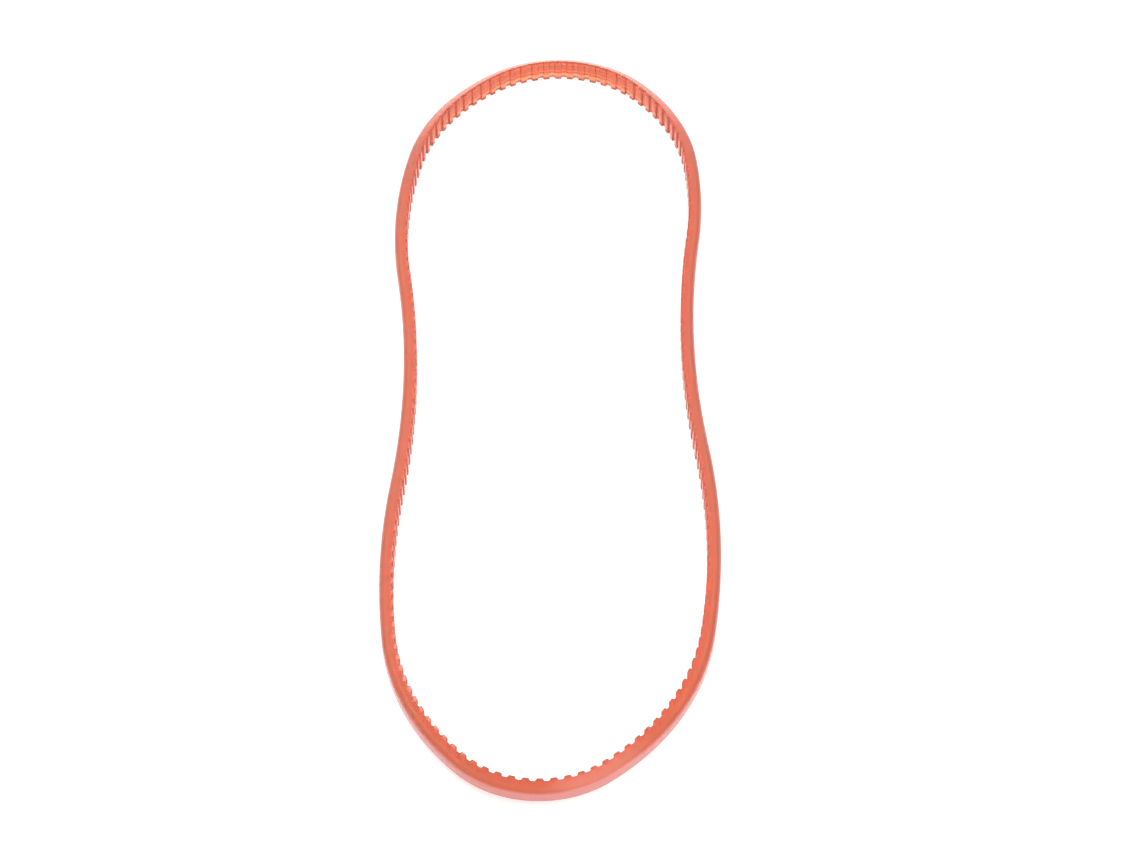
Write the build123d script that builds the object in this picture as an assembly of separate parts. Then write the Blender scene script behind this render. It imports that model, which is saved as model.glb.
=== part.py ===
"""Wide-angle polyurethane V belt, an endless ring lying on its side and inside out.

The belt's width runs along +Z, which is also the direction of the pulley axes.
Its wide face, with shallow ribs across it, points into the loop, and the narrow
face of the V points out. The loop lies in the XY plane: a far lobe towards +Y,
a near lobe towards -Y, and a waist between them, as a limp belt settles when it
is on no pulleys. The origin is under the middle of the loop, on the surface the
belt rests on. Units are millimetres and degrees.
"""

from build123d import *
from collections import namedtuple
from math import acos, atan2, cos, degrees, radians, sin, tan
import os

# ---- the belt's section, measured from its wide face outwards ----
WIDE_FACE = 5.0  # across the ribs
THICKNESS = 2.7  # rib tips to narrow face
SHOULDER = 0.12  # straight-sided strip beside the wide face, before the V begins
V_ANGLE = 64.0  # between the two pulley flanks
CORD_DEPTH = 1.45  # rib tips to the cord centres, where the two layers meet

# ---- the tension cords ----
CORD_DIAMETER = 0.4
CORD_SPACING = 0.88  # from one turn to the next across the belt
CORD_TURNS = 4  # S-twist and Z-twist turns alternate
CORD_CLEARANCE = 0.02  # all round, between a cord and its seat

# ---- the ribs across the wide face ----
RIB_PITCH = 2.75  # wanted spacing along the cord line
RIB_HEIGHT = 0.45  # groove floor to rib tip
RIB_TIP_WIDTH = 1.2  # along the belt, before the corners are rounded
RIB_SIDE_ANGLE = 30.0  # lean of a rib's side from upright
GROOVE_CORNER_RADIUS = 0.3
RIB_CORNER_RADIUS = 0.2

# ---- the loop, along the cord line ----
# Each lobe is an oval of nested arcs: a tight end, two shoulders and two long sides.
# Angles are measured from +X, and say in which direction the arcs join.
Lobe = namedtuple("Lobe", "x y end shoulder side right left")
FAR_LOBE = Lobe(
    x=-2.5, y=85.1, end=23.7, shoulder=42.2, side=111.0, right=(44.0, 6.4), left=(123.6, 168.2)
)
NEAR_LOBE = Lobe(
    x=-5.7, y=-73.7, end=20.6, shoulder=50.2, side=171.5, right=(-53.3, -8.4), left=(224.5, 186.4)
)
RIGHT_WAIST_RADIUS = 225.8
LEFT_WAIST_RADIUS = 228.1

# ---- worked out from the sizes above ----
FLOOR_INSET = CORD_DEPTH - RIB_HEIGHT  # cord line to groove floors
V_SLOPE = tan(radians(V_ANGLE / 2))
MID_HEIGHT = WIDE_FACE / 2

# One arc of the loop: its centre, radius, the angle it starts at, the angle it sweeps
# anticlockwise, and whether its centre is inside the loop.
Arc = namedtuple("Arc", "x y radius start sweep convex")


def towards(angle):
    """Unit vector in the XY plane, the given degrees from +X."""
    return Vector(cos(radians(angle)), sin(radians(angle)))


def lobe_circles(lobe, joins):
    """Centres of the end, shoulder and side circles on one side of a lobe."""
    end = Vector(lobe.x, lobe.y)
    shoulder = end - towards(joins[0]) * (lobe.shoulder - lobe.end)
    side = shoulder - towards(joins[1]) * (lobe.side - lobe.shoulder)
    return end, shoulder, side


def waist_circle(first, first_radius, second, second_radius, radius):
    """Centre of the circle that touches both sides from outside, left of first to second."""
    span = second - first
    one, two = first_radius + radius, second_radius + radius
    angle = degrees(acos((span.length**2 + one**2 - two**2) / (2 * span.length * one)))
    return first + towards(degrees(atan2(span.Y, span.X)) + angle) * one


def angle_from(centre, point):
    """Direction from centre to point, in degrees from +X."""
    return degrees(atan2(point.Y - centre.Y, point.X - centre.X))


def arc_between(centre, radius, one, other, convex=True):
    """The shorter arc between two directions, as one anticlockwise sweep."""
    sweep = (other - one) % 360
    if sweep > 180:
        one, sweep = other, 360 - sweep
    return Arc(centre.X, centre.Y, radius, one, sweep, convex)


def loop_arcs():
    """The twelve tangent arcs of the loop, clockwise from the far lobe's end."""
    far_end, far_shoulder_r, far_side_r = lobe_circles(FAR_LOBE, FAR_LOBE.right)
    _, far_shoulder_l, far_side_l = lobe_circles(FAR_LOBE, FAR_LOBE.left)
    near_end, near_shoulder_r, near_side_r = lobe_circles(NEAR_LOBE, NEAR_LOBE.right)
    _, near_shoulder_l, near_side_l = lobe_circles(NEAR_LOBE, NEAR_LOBE.left)
    waist_r = waist_circle(far_side_r, FAR_LOBE.side, near_side_r, NEAR_LOBE.side, RIGHT_WAIST_RADIUS)
    waist_l = waist_circle(near_side_l, NEAR_LOBE.side, far_side_l, FAR_LOBE.side, LEFT_WAIST_RADIUS)

    def lobe_side(lobe, joins, shoulder, side, waist):
        return [
            arc_between(shoulder, lobe.shoulder, joins[0], joins[1]),
            arc_between(side, lobe.side, joins[1], angle_from(side, waist)),
        ]

    def waist_arc(centre, radius, far_side, near_side):
        return arc_between(centre, radius, angle_from(centre, far_side), angle_from(centre, near_side), False)

    far_right = lobe_side(FAR_LOBE, FAR_LOBE.right, far_shoulder_r, far_side_r, waist_r)
    near_right = lobe_side(NEAR_LOBE, NEAR_LOBE.right, near_shoulder_r, near_side_r, waist_r)
    near_left = lobe_side(NEAR_LOBE, NEAR_LOBE.left, near_shoulder_l, near_side_l, waist_l)
    far_left = lobe_side(FAR_LOBE, FAR_LOBE.left, far_shoulder_l, far_side_l, waist_l)
    return [
        arc_between(far_end, FAR_LOBE.end, FAR_LOBE.right[0], FAR_LOBE.left[0]),
        *far_right,
        waist_arc(waist_r, RIGHT_WAIST_RADIUS, far_side_r, near_side_r),
        *reversed(near_right),
        arc_between(near_end, NEAR_LOBE.end, NEAR_LOBE.right[0], NEAR_LOBE.left[0]),
        *near_left,
        waist_arc(waist_l, LEFT_WAIST_RADIUS, far_side_l, near_side_l),
        *reversed(far_left),
    ]


ARCS = loop_arcs()
LOOP_LENGTH = sum(radians(arc.sweep) * arc.radius for arc in ARCS)
RIB_COUNT = round(LOOP_LENGTH / RIB_PITCH)
PITCH = LOOP_LENGTH / RIB_COUNT  # the wanted pitch, evened out so the ribs close up


def half_width(depth):
    """Half of the belt's width at a depth below its wide face."""
    return MID_HEIGHT - max(0.0, depth - SHOULDER) * V_SLOPE


def cord_heights():
    """Heights of the cord turns, evenly spaced about mid width."""
    lowest = MID_HEIGHT - CORD_SPACING * (CORD_TURNS - 1) / 2
    return [lowest + CORD_SPACING * turn for turn in range(CORD_TURNS)]


def section(points):
    """A closed section from (outward, height) points, with half-round seats for the cords."""
    seat = Circle(CORD_DIAMETER / 2 + CORD_CLEARANCE)
    seats = [Pos(0, height) * seat for height in cord_heights()]
    return make_face(Polyline(*points, close=True)) - seats


def swept_round(profile, arc):
    """One arc of the ring: a profile whose X points out of the loop, turned about the arc's axis."""
    out = towards(arc.start)
    if not arc.convex:
        profile = mirror(profile, about=Plane.YZ)
    start = Plane(
        origin=Vector(arc.x, arc.y) + out * arc.radius,
        x_dir=out,
        z_dir=out.cross(Vector(0, 0, 1)),
    )
    axis = Axis((arc.x, arc.y, 0), (0, 0, 1))
    return revolve(start * profile, axis, arc.sweep)


def ring(profile):
    """The whole endless ring of one profile."""
    spans = [swept_round(profile, arc) for arc in ARCS]
    return spans[0].fuse(*spans[1:])


def frame_at(distance):
    """Point, travel and inward directions at a distance clockwise along the cord line."""
    distance %= LOOP_LENGTH
    for arc in ARCS:
        length = radians(arc.sweep) * arc.radius
        if distance <= length or arc is ARCS[-1]:
            break
        distance -= length
    turned = degrees(distance / arc.radius)
    angle = arc.start + (arc.sweep - turned if arc.convex else turned)
    out = towards(angle) * (1 if arc.convex else -1)
    point = Vector(arc.x, arc.y) + towards(angle) * arc.radius
    return point, Vector(out.Y, -out.X), -out


def placed(distance, along, inward):
    """A plan point given beside the cord line."""
    point, travel, inside = frame_at(distance)
    return point + travel * along + inside * inward


def rounded_corner(corner, radius, side_sign):
    """Start, middle and end of the arc that rounds a rib's side into a level line.

    The corner is (along, inward); side_sign is 1 at a rib's tip and -1 at a groove's floor.
    """
    lean = radians(RIB_SIDE_ANGLE)
    reach = radius * tan((radians(90) - lean) / 2)
    level = (corner[0] - side_sign * reach, corner[1])
    centre = (level[0], corner[1] - side_sign * radius)

    def on_arc(angle):
        return (centre[0] + side_sign * radius * cos(angle), centre[1] + side_sign * radius * sin(angle))

    return on_arc(lean), on_arc((radians(90) + lean) / 2), level


def ribbed_outline():
    """The inner edge of the belt in plan: flat-tipped ribs between flat-floored grooves."""
    tip = (RIB_TIP_WIDTH / 2, CORD_DEPTH)
    foot = (tip[0] + RIB_HEIGHT * tan(radians(RIB_SIDE_ANGLE)), FLOOR_INSET)
    tip_side, tip_middle, tip_end = rounded_corner(tip, RIB_CORNER_RADIUS, 1)
    foot_side, foot_middle, foot_end = rounded_corner(foot, GROOVE_CORNER_RADIUS, -1)
    edges = []
    for rib in range(RIB_COUNT):
        here = rib * PITCH

        def on_rib(spot, side_sign):
            return placed(here, spot[0] * side_sign, spot[1])

        edges += [
            ThreePointArc(on_rib(foot_end, -1), on_rib(foot_middle, -1), on_rib(foot_side, -1)),
            Line(on_rib(foot_side, -1), on_rib(tip_side, -1)),
            ThreePointArc(on_rib(tip_side, -1), on_rib(tip_middle, -1), on_rib(tip_end, -1)),
            Line(on_rib(tip_end, -1), on_rib(tip_end, 1)),
            ThreePointArc(on_rib(tip_end, 1), on_rib(tip_middle, 1), on_rib(tip_side, 1)),
            Line(on_rib(tip_side, 1), on_rib(foot_side, 1)),
            ThreePointArc(on_rib(foot_side, 1), on_rib(foot_middle, 1), on_rib(foot_end, 1)),
            Line(on_rib(foot_end, 1), placed(here + PITCH, -foot_end[0], foot_end[1])),
        ]
    return Wire(edges)


def ribbed_layer():
    """The inner layer: the wide face with its ribs and grooves, down to the cord line."""
    spare = RIB_HEIGHT / 2  # the strip runs on past the tips, and the ribbed outline trims it
    seam = half_width(CORD_DEPTH)
    points = [
        (0, MID_HEIGHT - seam),
        (SHOULDER - CORD_DEPTH, 0),
        (-CORD_DEPTH - spare, 0),
        (-CORD_DEPTH - spare, WIDE_FACE),
        (SHOULDER - CORD_DEPTH, WIDE_FACE),
        (0, MID_HEIGHT + seam),
    ]
    hole = extrude(make_face(ribbed_outline()), WIDE_FACE)
    return ring(section(points)) - hole


def wedge_layer():
    """The smooth outer layer: the narrow part of the V, from the cord line out."""
    seam, narrow = half_width(CORD_DEPTH), half_width(THICKNESS)
    outer = THICKNESS - CORD_DEPTH
    points = [
        (0, MID_HEIGHT - seam),
        (outer, MID_HEIGHT - narrow),
        (outer, MID_HEIGHT + narrow),
        (0, MID_HEIGHT + seam),
    ]
    return ring(section(points))


def cord_turns(first):
    """Every second turn of tension cord, from the given one up."""
    loops = []
    for height in cord_heights()[first::2]:
        loops.append(ring(Pos(0, height) * Circle(CORD_DIAMETER / 2)))
    return Compound(children=[solid for loop in loops for solid in loop.solids()])


def main():
    pieces = {
        "ribbed_layer": ribbed_layer(),
        "wedge_layer": wedge_layer(),
        "tension_cord_s_twist": cord_turns(0),
        "tension_cord_z_twist": cord_turns(1),
    }
    box = pieces["wedge_layer"].bounding_box()
    centre = Pos(-box.center().X, -box.center().Y, 0)
    os.makedirs("parts", exist_ok=True)
    for name, piece in pieces.items():
        export_step(centre * piece, f"parts/{name}.step")
    print(f"cord line {LOOP_LENGTH:.2f} mm, {RIB_COUNT} ribs at {PITCH:.4f} mm, loop {box.size}")


main()
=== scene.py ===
"""Wide-angle polyurethane V belt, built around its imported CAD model.

The belt lies on its side, inside out, as a limp waisted loop: its ribbed wide face points into
the loop and the narrow face of the V points out. Its width runs along +Z and its loop lies in the
XY plane. One translucent casting stands for the ribbed layer and the wedge layer, and the
tension cords are wound inside it. Everything is in metres, in the CAD model's frame.
"""

from collections import namedtuple
from math import acos, atan2, ceil, cos, pi, radians, sin, tan

import bmesh
import bpy
from bpy.props import FloatProperty, FloatVectorProperty, IntProperty, PointerProperty, StringProperty
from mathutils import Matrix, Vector


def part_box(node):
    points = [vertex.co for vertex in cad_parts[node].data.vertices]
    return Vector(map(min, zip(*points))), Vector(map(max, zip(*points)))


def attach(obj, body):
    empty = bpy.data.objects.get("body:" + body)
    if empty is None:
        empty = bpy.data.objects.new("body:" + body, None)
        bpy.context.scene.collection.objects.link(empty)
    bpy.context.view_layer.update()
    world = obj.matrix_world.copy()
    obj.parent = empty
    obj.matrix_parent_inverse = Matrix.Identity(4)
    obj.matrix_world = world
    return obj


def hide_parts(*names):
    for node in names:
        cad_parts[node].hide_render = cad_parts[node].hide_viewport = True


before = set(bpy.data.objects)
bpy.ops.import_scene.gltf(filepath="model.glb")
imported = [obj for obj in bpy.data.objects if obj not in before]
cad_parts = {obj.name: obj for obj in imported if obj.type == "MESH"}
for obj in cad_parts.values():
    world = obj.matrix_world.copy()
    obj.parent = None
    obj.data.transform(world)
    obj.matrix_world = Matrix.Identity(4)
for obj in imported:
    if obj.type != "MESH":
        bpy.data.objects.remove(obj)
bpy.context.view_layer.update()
MM = 0.001

LINE_SAMPLES = 4000  # points that measure how far the loop reaches
WELD_DISTANCE = 0.002 * MM  # vertices this close become one
CORNER_STEPS = 3  # faces round a rib's corner
EDGE_STEPS = 2  # faces round a long edge of the narrow face
WIDE_FACE_ROW = 0.6  # where a row of vertices crosses half the wide face, as a share
NARROW_FACE_ROW = 0.5  # the same for the narrow face
FLANK_ROWS = (0.0, 0.35, 0.7)  # the same down a flank
WIDE_EDGE_BEVEL = 0.4  # width of the bevel beside the wide face, in edge radii
CORD_PLIES = 3
CORD_SIDES = 9
CORD_STEP = 0.45 * MM  # along the cord, from ring to ring
PLY_TURN = 3.0 * MM  # along the cord, for one whole twist
PLY_SWELL = 0.12  # half the depth of the grooves between plies, in cord radii
GRAIN_SIZE = 0.35 * MM  # speckle of the mould on the casting
GRAIN_RELIEF = 0.02 * MM
FROSTED_SHEEN_START = 0.82  # share of the thickness, from the rib tips, where the skin turns pale: hazier frosted skin, with a painted pale lavender sheen
FLOOR_REACH = 3.0  # metres from the middle of the floor to its edge

bl_info = {
    "name": "Wide-angle V belt",
    "version": (1, 0, 0),
    "blender": (4, 5, 0),
    "location": "3D View > Sidebar > V belt",
    "description": "Casts a ribbed V belt round its tension cords and sets it on a stage",
    "category": "Object",
}


# ---- sizes and colours ----


class BeltSection(bpy.types.PropertyGroup):
    """The belt's cross-section, its ribs and its cords; depths run from the wide face outwards."""

    wide_face: FloatProperty(name="Wide face", description="Across the ribs", default=5.0 * MM, unit="LENGTH")
    thickness: FloatProperty(
        name="Thickness", description="Rib tips to narrow face", default=2.7 * MM, unit="LENGTH"
    )
    shoulder: FloatProperty(
        name="Shoulder", description="Straight strip beside the wide face", default=0.12 * MM, unit="LENGTH"
    )
    v_angle: FloatProperty(
        name="V angle", description="Between the two pulley flanks", default=radians(64), unit="ROTATION"
    )
    rib_pitch: FloatProperty(
        name="Rib pitch", description="Spacing along the cord line", default=2.75 * MM, unit="LENGTH"
    )
    rib_height: FloatProperty(
        name="Rib height", description="Groove floor to rib tip", default=0.45 * MM, unit="LENGTH"
    )
    rib_tip: FloatProperty(
        name="Rib tip", description="Along the belt, before rounding", default=1.2 * MM, unit="LENGTH"
    )
    rib_lean: FloatProperty(
        name="Rib lean", description="A rib side's lean from upright", default=radians(30), unit="ROTATION"
    )
    groove_round: FloatProperty(
        name="Groove corner", description="Between groove floor and rib side", default=0.3 * MM, unit="LENGTH"
    )
    rib_round: FloatProperty(
        name="Rib corner", description="Between rib side and rib tip", default=0.2 * MM, unit="LENGTH"
    )
    edge_round: FloatProperty(
        name="Edge radius", description="Long corners of the section", default=0.06 * MM, unit="LENGTH"
    )
    cord_depth: FloatProperty(
        name="Cord depth", description="Rib tips to the cord centres", default=1.45 * MM, unit="LENGTH"
    )
    cord_diameter: FloatProperty(
        name="Cord diameter", description="Of one twisted cord", default=0.4 * MM, unit="LENGTH"
    )
    cord_spacing: FloatProperty(
        name="Cord spacing", description="From turn to turn across the belt", default=0.88 * MM, unit="LENGTH"
    )
    cord_turns: IntProperty(name="Cord turns", description="Turns of cord across the belt", default=4)


class FarLobe(bpy.types.PropertyGroup):
    """The lobe towards +Y: an oval of nested arcs along the cord line."""

    centre: FloatVectorProperty(
        name="Centre",
        description="Of the end arc",
        size=2,
        default=(-2.5 * MM, 85.1 * MM),
        unit="LENGTH",
    )
    radii: FloatVectorProperty(
        name="Radii",
        description="End, shoulder, side",
        default=(23.7 * MM, 42.2 * MM, 111 * MM),
        unit="LENGTH",
    )
    right: FloatVectorProperty(
        name="Right joins",
        description="Directions of the end to shoulder join and the shoulder to side join",
        size=2,
        default=(radians(44), radians(6.4)),
        unit="ROTATION",
    )
    left: FloatVectorProperty(
        name="Left joins",
        description="The same on the left",
        size=2,
        default=(radians(123.6), radians(168.2)),
        unit="ROTATION",
    )


class NearLobe(bpy.types.PropertyGroup):
    """The lobe towards -Y, drawn in the same way."""

    centre: FloatVectorProperty(
        name="Centre",
        description="Of the end arc",
        size=2,
        default=(-5.7 * MM, -73.7 * MM),
        unit="LENGTH",
    )
    radii: FloatVectorProperty(
        name="Radii",
        description="End, shoulder, side",
        default=(20.6 * MM, 50.2 * MM, 171.5 * MM),
        unit="LENGTH",
    )
    right: FloatVectorProperty(
        name="Right joins",
        description="Directions of the end to shoulder join and the shoulder to side join",
        size=2,
        default=(radians(-53.3), radians(-8.4)),
        unit="ROTATION",
    )
    left: FloatVectorProperty(
        name="Left joins",
        description="The same on the left",
        size=2,
        default=(radians(224.5), radians(186.4)),
        unit="ROTATION",
    )


class BeltLoop(bpy.types.PropertyGroup):
    """The shape the limp loop lies in."""

    far: PointerProperty(type=FarLobe)
    near: PointerProperty(type=NearLobe)
    waists: FloatVectorProperty(
        name="Waist radii",
        description="Right, left",
        size=2,
        default=(225.8 * MM, 228.1 * MM),
        unit="LENGTH",
    )


class BeltColours(bpy.types.PropertyGroup):
    """Surface colours, as sRGB hex values."""

    casting: StringProperty(name="Casting", description="Polyurethane at its surface", default="#FBC298")
    # Partly painted sheen: this pale lavender tint stands in for the sheen that the narrow face and its edges
    # catch at grazing angles. It lies over a frosted, hazier skin.
    skin: StringProperty(name="Skin", description="Bloomed skin round the narrow face", default="#EACAC6")
    casting_depth: StringProperty(name="Depth", description="Tint of light inside it", default="#FCB47C")
    cord: StringProperty(name="Cord", description="Soaked polyester yarn", default="#F2AE98")
    floor: StringProperty(name="Floor", description="Pale studio floor", default="#C4C4C4")


class StudioStage(bpy.types.PropertyGroup):
    """Camera and light."""

    camera_aim: FloatVectorProperty(
        name="Aim",
        description="Point in the middle of the view",
        default=(3.9 * MM, -7.25 * MM, 0),
        unit="LENGTH",
    )
    camera_distance: FloatProperty(
        name="Distance", description="Camera to aim", default=693.3 * MM, unit="LENGTH"
    )
    camera_elevation: FloatProperty(
        name="Elevation", description="Above the floor", default=radians(46.52), unit="ROTATION"
    )
    camera_lens: FloatProperty(
        name="Lens", description="Focal length in mm for a 36 mm frame", default=108.4, unit="CAMERA"
    )


# ---- the loop's cord line ----

Arc = namedtuple("Arc", "centre radius start sweep convex")


def towards(angle):
    """Unit vector in the XY plane at an angle from +X."""
    return Vector((cos(angle), sin(angle), 0.0))


def angle_from(centre, point):
    """Direction from centre to point, from +X."""
    return atan2(point.y - centre.y, point.x - centre.x)


def arc_between(centre, radius, one, other, convex=True):
    """The shorter arc between two directions, as one anticlockwise sweep."""
    sweep = (other - one) % (2 * pi)
    if sweep > pi:
        one, sweep = other, 2 * pi - sweep
    return Arc(centre, radius, one, sweep, convex)


class CordLine:
    """The closed line of the cords: twelve tangent arcs, walked clockwise from the far end."""

    def __init__(self, loop, section):
        far, near = loop.far, loop.near
        far_right, far_left = self.circles(far, far.right), self.circles(far, far.left)
        near_right, near_left = self.circles(near, near.right), self.circles(near, near.left)
        right = self.waist(far_right[2], far.radii[2], near_right[2], near.radii[2], loop.waists[0])
        left = self.waist(near_left[2], near.radii[2], far_left[2], far.radii[2], loop.waists[1])
        self.arcs = [
            arc_between(far_right[0], far.radii[0], far.right[0], far.left[0]),
            *self.flank(far, far.right, far_right, right),
            self.waist_arc(right, loop.waists[0], far_right[2], near_right[2]),
            *reversed(self.flank(near, near.right, near_right, right)),
            arc_between(near_right[0], near.radii[0], near.right[0], near.left[0]),
            *self.flank(near, near.left, near_left, left),
            self.waist_arc(left, loop.waists[1], far_left[2], near_left[2]),
            *reversed(self.flank(far, far.left, far_left, left)),
        ]
        self.length = sum(arc.sweep * arc.radius for arc in self.arcs)
        self.shift = Vector()
        self.centre_on_frame(section.thickness - section.cord_depth)

    @staticmethod
    def circles(lobe, joins):
        """Centres of a lobe's end, shoulder and side circles on one side."""
        end = Vector((*lobe.centre, 0.0))
        shoulder = end - towards(joins[0]) * (lobe.radii[1] - lobe.radii[0])
        return end, shoulder, shoulder - towards(joins[1]) * (lobe.radii[2] - lobe.radii[1])

    @staticmethod
    def waist(first, first_radius, second, second_radius, radius):
        """Centre of the circle that touches both sides from outside."""
        span = second - first
        one, two = first_radius + radius, second_radius + radius
        angle = acos((span.length**2 + one**2 - two**2) / (2 * span.length * one))
        return first + towards(atan2(span.y, span.x) + angle) * one

    @staticmethod
    def flank(lobe, joins, circles, waist):
        """A lobe's shoulder and side arcs."""
        return [
            arc_between(circles[1], lobe.radii[1], joins[0], joins[1]),
            arc_between(circles[2], lobe.radii[2], joins[1], angle_from(circles[2], waist)),
        ]

    @staticmethod
    def waist_arc(centre, radius, far_side, near_side):
        """The hollow arc that joins the two lobes' side circles."""
        return arc_between(centre, radius, angle_from(centre, far_side), angle_from(centre, near_side), False)

    def centre_on_frame(self, reach):
        """Moves the line so that the belt's narrow face fills the CAD wedge layer's box."""
        spots = [self.at(self.length * step / LINE_SAMPLES) for step in range(LINE_SAMPLES)]
        outers = [point - inward * reach for point, _, inward in spots]
        low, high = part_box("wedge_layer")
        for axis in (0, 1):
            values = [outer[axis] for outer in outers]
            self.shift[axis] = (low[axis] + high[axis] - min(values) - max(values)) / 2

    def at(self, distance):
        """Point, travel direction and inward direction at a distance along the line."""
        distance %= self.length
        for arc in self.arcs:
            length = arc.sweep * arc.radius
            if distance <= length or arc is self.arcs[-1]:
                break
            distance -= length
        turned = distance / arc.radius
        angle = arc.start + (arc.sweep - turned if arc.convex else turned)
        out = towards(angle) * (1 if arc.convex else -1)
        point = arc.centre + towards(angle) * arc.radius + self.shift
        return point, Vector((out.y, -out.x, 0.0)), -out


# ---- mesh helpers ----


def shaped_grid(bm, columns, rows, place):
    """A grid whose vertex in column i and row j goes to place(i, j)."""
    made = bmesh.ops.create_grid(bm, x_segments=columns, y_segments=rows, size=0.5)
    for vertex in made["verts"]:
        column = round((vertex.co.x + 0.5) * columns)
        row = round((vertex.co.y + 0.5) * rows)
        vertex.co = place(column, row)
    return made["verts"]


def finished(name, bm, material, nodes):
    """Closes and smooths a mesh, gives it its material and hands it to the frame."""
    bmesh.ops.remove_doubles(bm, verts=bm.verts, dist=WELD_DISTANCE)
    bmesh.ops.recalc_face_normals(bm, faces=bm.faces)
    for face in bm.faces:
        face.smooth = True
    mesh = bpy.data.meshes.new(name)
    bm.to_mesh(mesh)
    bm.free()
    mesh.materials.append(material)
    piece = bpy.data.objects.new(name, mesh)
    bpy.context.scene.collection.objects.link(piece)
    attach(piece, "root")
    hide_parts(*nodes)
    return piece


# ---- the cast body ----


def arc_steps(radius, start, end, steps):
    """Offsets (sideways, up) round an arc from start to end, both ends included."""
    angles = [start + (end - start) * step / steps for step in range(steps + 1)]
    return [(radius * cos(angle), radius * sin(angle)) for angle in angles]


def rib_stations(section, pitch):
    """(along, depth of the wide face) from one groove's middle to the next, over one rib."""
    lean = section.rib_lean
    spread = tan((pi / 2 - lean) / 2)
    groove, corner = section.groove_round, section.rib_round
    tip = -section.rib_tip / 2
    foot = tip - section.rib_height * tan(lean)
    floor = arc_steps(groove, pi / 2, lean, CORNER_STEPS)
    half = [(-pitch / 2, section.rib_height)]
    half += [(foot - groove * spread + along, section.rib_height - groove + up) for along, up in floor]
    crest = arc_steps(corner, -pi + lean, -pi / 2, CORNER_STEPS)
    half += [(tip + corner * spread + along, corner + up) for along, up in crest]
    return half + [(0.0, 0.0)] + [(-along, depth) for along, depth in reversed(half)]


def ring_section(section, depth):
    """(height from mid width, depth) round the section whose inner face is at a depth."""
    half, rounding = section.wide_face / 2, section.edge_round
    lean = section.v_angle / 2
    slope = tan(lean)

    def edge(at):
        return half - max(0.0, at - section.shoulder) * slope

    brow = edge(depth + rounding)
    inner = brow - rounding * WIDE_EDGE_BEVEL
    outer = edge(section.thickness) - rounding * tan((pi / 2 - lean) / 2)
    points = [(0.0, depth), (inner * WIDE_FACE_ROW, depth), (inner, depth), (brow, depth + rounding)]
    knee = max(section.shoulder, depth + rounding * 2)
    reach = section.thickness - rounding * (1 + sin(lean)) - knee
    points += [(edge(knee + reach * share), knee + reach * share) for share in FLANK_ROWS]
    corner = arc_steps(rounding, lean, pi / 2, EDGE_STEPS)
    points += [(outer + across, section.thickness - rounding + up) for across, up in corner]
    points.append((outer * NARROW_FACE_ROW, section.thickness))
    return points + [(0.0, section.thickness)] + [(-height, at) for height, at in reversed(points)]


class BELT_OT_cast_body(bpy.types.Operator):
    """Cast the belt's translucent body: ribs and grooves, V flanks and narrow face"""

    bl_idname = "belt.cast_body"
    bl_label = "Cast body"

    def execute(self, context):
        section = context.scene.belt_section
        line = CordLine(context.scene.belt_loop, section)
        ribs = round(line.length / section.rib_pitch)
        pitch = line.length / ribs
        stations = rib_stations(section, pitch)
        rings = [ring_section(section, depth) for _, depth in stations]
        middle = section.wide_face / 2
        bm = bmesh.new()
        outward = bm.verts.layers.float.new("outward")

        def place(column, row):
            height, depth = rings[column][row]
            return Vector((stations[column][0], depth, middle + height))

        shaped_grid(bm, len(stations) - 1, len(rings[0]) - 1, place)
        one_rib = bm.verts[:] + bm.edges[:] + bm.faces[:]
        for rib in range(1, ribs):
            copy = bmesh.ops.duplicate(bm, geom=one_rib)
            verts = [part for part in copy["geom"] if isinstance(part, bmesh.types.BMVert)]
            bmesh.ops.translate(bm, verts=verts, vec=(rib * pitch, 0.0, 0.0))
        for vertex in bm.verts:
            along, depth, height = vertex.co
            vertex[outward] = depth / section.thickness
            point, _, inward = line.at(along)
            vertex.co = point + inward * (section.cord_depth - depth) + Vector((0.0, 0.0, height))
        material = cast_polyurethane(context.scene.belt_colours)
        finished("belt_body", bm, material, ["ribbed_layer", "wedge_layer"])
        return {"FINISHED"}


# ---- the tension cords ----


class BELT_OT_wind_cords(bpy.types.Operator):
    """Wind the S-twist and Z-twist tension cords inside the body"""

    bl_idname = "belt.wind_cords"
    bl_label = "Wind cords"

    def execute(self, context):
        section = context.scene.belt_section
        line = CordLine(context.scene.belt_loop, section)
        material = soaked_polyester(context.scene.belt_colours)
        lowest = section.wide_face / 2 - section.cord_spacing * (section.cord_turns - 1) / 2
        for first, twist, lay in ((0, "s_twist", 1), (1, "z_twist", -1)):
            bm = bmesh.new()
            for turn in range(first, section.cord_turns, 2):
                self.wind_turn(bm, line, section, lowest + turn * section.cord_spacing, lay)
            name = "tension_cord_" + twist
            finished(name + "_yarn", bm, material, [name])
        return {"FINISHED"}

    @staticmethod
    def wind_turn(bm, line, section, height, lay):
        """One closed turn of three-ply cord, its plies twisted the way lay says."""
        stations = ceil(line.length / CORD_STEP)
        twists = round(line.length / PLY_TURN)
        radius = section.cord_diameter / 2

        def place(column, row):
            share = column / stations
            point, _, inward = line.at(line.length * share)
            angle = 2 * pi * row / CORD_SIDES
            twist = lay * 2 * pi * twists * share
            swell = 1 - PLY_SWELL + PLY_SWELL * cos(CORD_PLIES * (angle + twist))
            across = radius * swell * cos(angle)
            up = radius * swell * sin(angle)
            return point + inward * across + Vector((0.0, 0.0, height + up))

        shaped_grid(bm, stations, CORD_SIDES, place)


# ---- materials ----


def srgb(text):
    """An sRGB hex colour as linear RGBA."""
    channels = [int(text[at : at + 2], 16) / 255 for at in (1, 3, 5)]
    linear = [c / 12.92 if c <= 0.04045 else ((c + 0.055) / 1.055) ** 2.4 for c in channels]
    return (*linear, 1.0)


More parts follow.
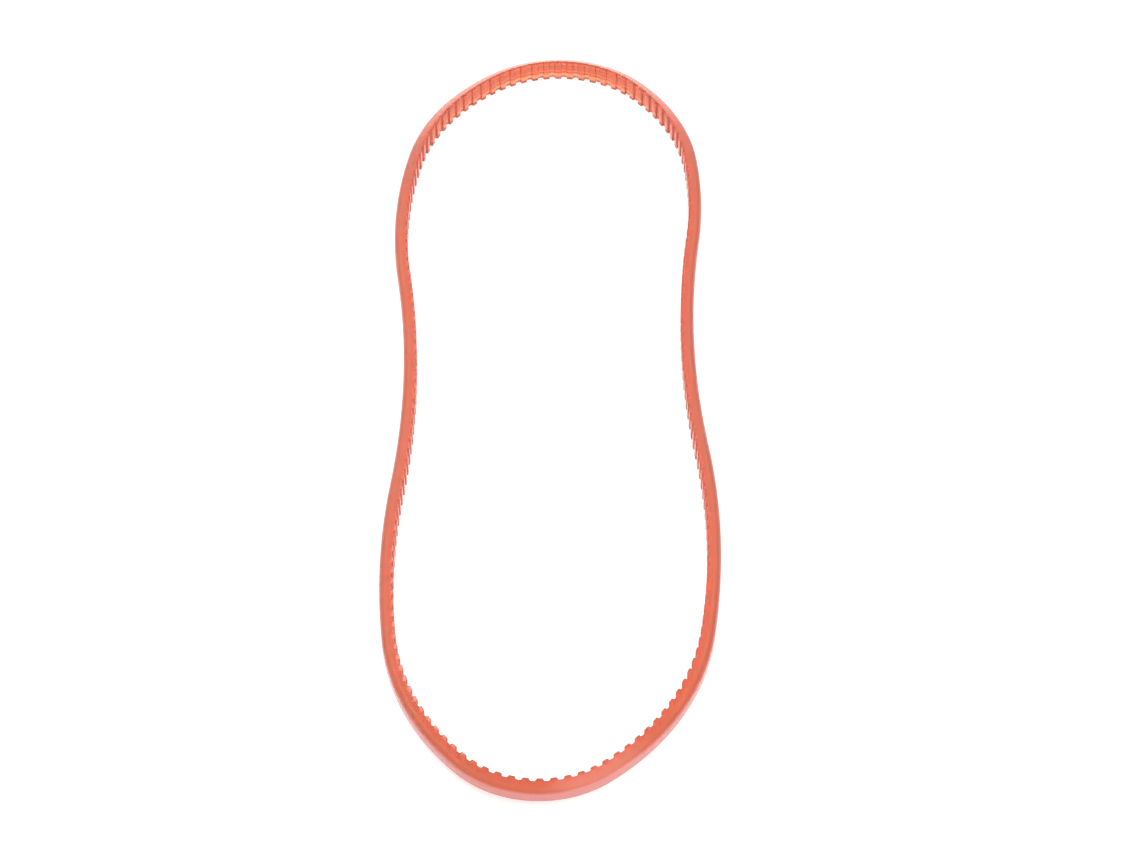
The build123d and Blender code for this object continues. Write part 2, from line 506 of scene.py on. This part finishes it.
def new_material(name):
    """An empty node material and its output node."""
    material = bpy.data.materials.new(name)
    material.use_nodes = True
    material.node_tree.nodes.clear()
    return material, add_node(material, "ShaderNodeOutputMaterial")


def add_node(material, kind, settings=None, inputs=None, links=None):
    """Adds a node with its settings, socket values and links from (node, output) pairs."""
    tree = material.node_tree
    node = tree.nodes.new(kind)
    for name, value in (settings or {}).items():
        setattr(node, name, value)
    for name, value in (inputs or {}).items():
        node.inputs[name].default_value = value
    for name, (source, output) in (links or {}).items():
        tree.links.new(source.outputs[output], node.inputs[name])
    return node


def cast_polyurethane(colours):
    """Cast polyurethane elastomer: a hazy, deep orange gel. Its skin by the narrow face is frosted and
    hazier, and tinted pale lavender as a painted sheen.
    """
    material, output = new_material("cast polyurethane")
    place = add_node(material, "ShaderNodeTexCoord")
    grain = add_node(
        material,
        "ShaderNodeTexNoise",
        inputs={"Scale": 1 / GRAIN_SIZE, "Detail": 2.0},
        links={"Vector": (place, "Object")},
    )
    relief = add_node(
        material,
        "ShaderNodeBump",
        inputs={"Strength": 0.12, "Distance": GRAIN_RELIEF},
        links={"Height": (grain, "Fac")},
    )
    # The skin by the narrow face turns pale. It is less clear, as frosted skin is, and it is mixed towards a
    # pale lavender that is painted sheen.
    outward = add_node(material, "ShaderNodeAttribute", settings={"attribute_name": "outward"})
    frost_and_sheen = add_node(
        material,
        "ShaderNodeMapRange",
        settings={"interpolation_type": "SMOOTHSTEP"},
        inputs={"From Min": FROSTED_SHEEN_START, "From Max": 1.0},
        links={"Value": (outward, "Fac")},
    )
    casting_and_sheen_tint = add_node(
        material,
        "ShaderNodeMixRGB",
        inputs={"Color1": srgb(colours.casting), "Color2": srgb(colours.skin)},
        links={"Fac": (frost_and_sheen, "Result")},
    )
    clearness = add_node(
        material,
        "ShaderNodeMapRange",
        inputs={"To Min": 0.84, "To Max": 0.64},
        links={"Value": (frost_and_sheen, "Result")},
    )
    body = add_node(
        material,
        "ShaderNodeBsdfPrincipled",
        inputs={
            "Roughness": 0.2,
            "IOR": 1.45,
            "Subsurface Weight": 1.0,
            "Subsurface Radius": (1.0, 0.4, 0.25),
            "Subsurface Scale": 1.0 * MM,
        },
        links={
            "Base Color": (casting_and_sheen_tint, "Color"),
            "Transmission Weight": (clearness, "Result"),
            "Normal": (relief, "Normal"),
        },
    )
    depth = add_node(
        material,
        "ShaderNodeVolumeAbsorption",
        inputs={"Color": srgb(colours.casting_depth), "Density": 900.0},
    )
    tree = material.node_tree
    tree.links.new(body.outputs["BSDF"], output.inputs["Surface"])
    tree.links.new(depth.outputs["Volume"], output.inputs["Volume"])
    return material


def soaked_polyester(colours):
    """Twisted polyester yarn soaked in polyurethane: matt salmon threads, dim inside the body."""
    material, output = new_material("soaked polyester cord")
    yarn = add_node(
        material,
        "ShaderNodeBsdfPrincipled",
        inputs={"Base Color": srgb(colours.cord), "Roughness": 0.6},
    )
    material.node_tree.links.new(yarn.outputs["BSDF"], output.inputs["Surface"])
    return material


def studio_floor(colours):
    """Pale matt floor, lit from below as a light table is, so that shadows stay faint."""
    material, output = new_material("pale floor")
    paint = add_node(
        material,
        "ShaderNodeBsdfPrincipled",
        inputs={
            "Base Color": srgb(colours.floor),
            "Roughness": 0.9,
            "Emission Color": (1.0, 1.0, 1.0, 1.0),
            "Emission Strength": 0.62,
        },
    )
    material.node_tree.links.new(paint.outputs["BSDF"], output.inputs["Surface"])
    return material


# ---- the stage ----


class BELT_OT_set_stage(bpy.types.Operator):
    """Set the pale floor, the soft lights and the camera"""

    bl_idname = "belt.set_stage"
    bl_label = "Set stage"

    def execute(self, context):
        self.lay_floor(context)
        self.hang_lights(context)
        self.place_camera(context)
        return {"FINISHED"}

    @staticmethod
    def lay_floor(context):
        """One wide square in the plane the belt lies on."""
        bm = bmesh.new()
        bmesh.ops.create_grid(bm, x_segments=1, y_segments=1, size=FLOOR_REACH)
        mesh = bpy.data.meshes.new("floor")
        bm.to_mesh(mesh)
        bm.free()
        mesh.materials.append(studio_floor(context.scene.belt_colours))
        floor = bpy.data.objects.new("floor", mesh)
        context.scene.collection.objects.link(floor)

    @staticmethod
    def hang_lights(context):
        """A soft room all round, and two softboxes: place and size in metres, power in watts."""
        world = bpy.data.worlds.new("studio")
        world.use_nodes = True
        room = world.node_tree.nodes["Background"]
        room.inputs["Color"].default_value = (0.82, 0.78, 0.82, 1.0)
        room.inputs["Strength"].default_value = 1.0
        context.scene.world = world
        for name, spot, size, power in (
            ("key_softbox", (-0.5, 0.5, 0.9), 0.7, 9.0),
            ("fill_softbox", (0.6, -0.5, 0.8), 0.8, 5.0),
        ):
            light = bpy.data.lights.new(name, "AREA")
            light.size = size
            light.energy = power
            lamp = bpy.data.objects.new(name, light)
            lamp.location = spot
            lamp.rotation_euler = (-Vector(spot)).to_track_quat("-Z", "Y").to_euler()
            context.scene.collection.objects.link(lamp)

    @staticmethod
    def place_camera(context):
        """Looks along +Y and down at the aim."""
        stage = context.scene.studio_stage
        lens = bpy.data.cameras.new("camera")
        lens.lens = stage.camera_lens
        lens.sensor_width = 36.0
        lens.clip_end = 10.0
        camera = bpy.data.objects.new("camera", lens)
        back = Vector((0.0, -cos(stage.camera_elevation), sin(stage.camera_elevation)))
        camera.location = Vector(stage.camera_aim) + back * stage.camera_distance
        camera.rotation_euler = (-back).to_track_quat("-Z", "Y").to_euler()
        context.scene.collection.objects.link(camera)
        context.scene.camera = camera
        context.scene.view_settings.view_transform = "Standard"


class BELT_PT_sidebar(bpy.types.Panel):
    """The belt's steps, in order"""

    bl_idname = "BELT_PT_sidebar"
    bl_label = "V belt"
    bl_space_type = "VIEW_3D"
    bl_region_type = "UI"
    bl_category = "V belt"

    def draw(self, context):
        for operator in OPERATORS:
            self.layout.operator(operator.bl_idname)


OPERATORS = (BELT_OT_cast_body, BELT_OT_wind_cords, BELT_OT_set_stage)
GROUPS = (BeltSection, FarLobe, NearLobe, BeltLoop, BeltColours, StudioStage)
SCENE_SETTINGS = {
    "belt_section": BeltSection,
    "belt_loop": BeltLoop,
    "belt_colours": BeltColours,
    "studio_stage": StudioStage,
}


def register():
    for group in GROUPS + OPERATORS + (BELT_PT_sidebar,):
        bpy.utils.register_class(group)
    for name, group in SCENE_SETTINGS.items():
        setattr(bpy.types.Scene, name, PointerProperty(type=group))


def unregister():
    for name in SCENE_SETTINGS:
        delattr(bpy.types.Scene, name)
    for group in reversed(GROUPS + OPERATORS + (BELT_PT_sidebar,)):
        bpy.utils.unregister_class(group)


def main():
    register()
    bpy.ops.belt.cast_body()
    bpy.ops.belt.wind_cords()
    bpy.ops.belt.set_stage()


if __name__ == "__main__":
    main()
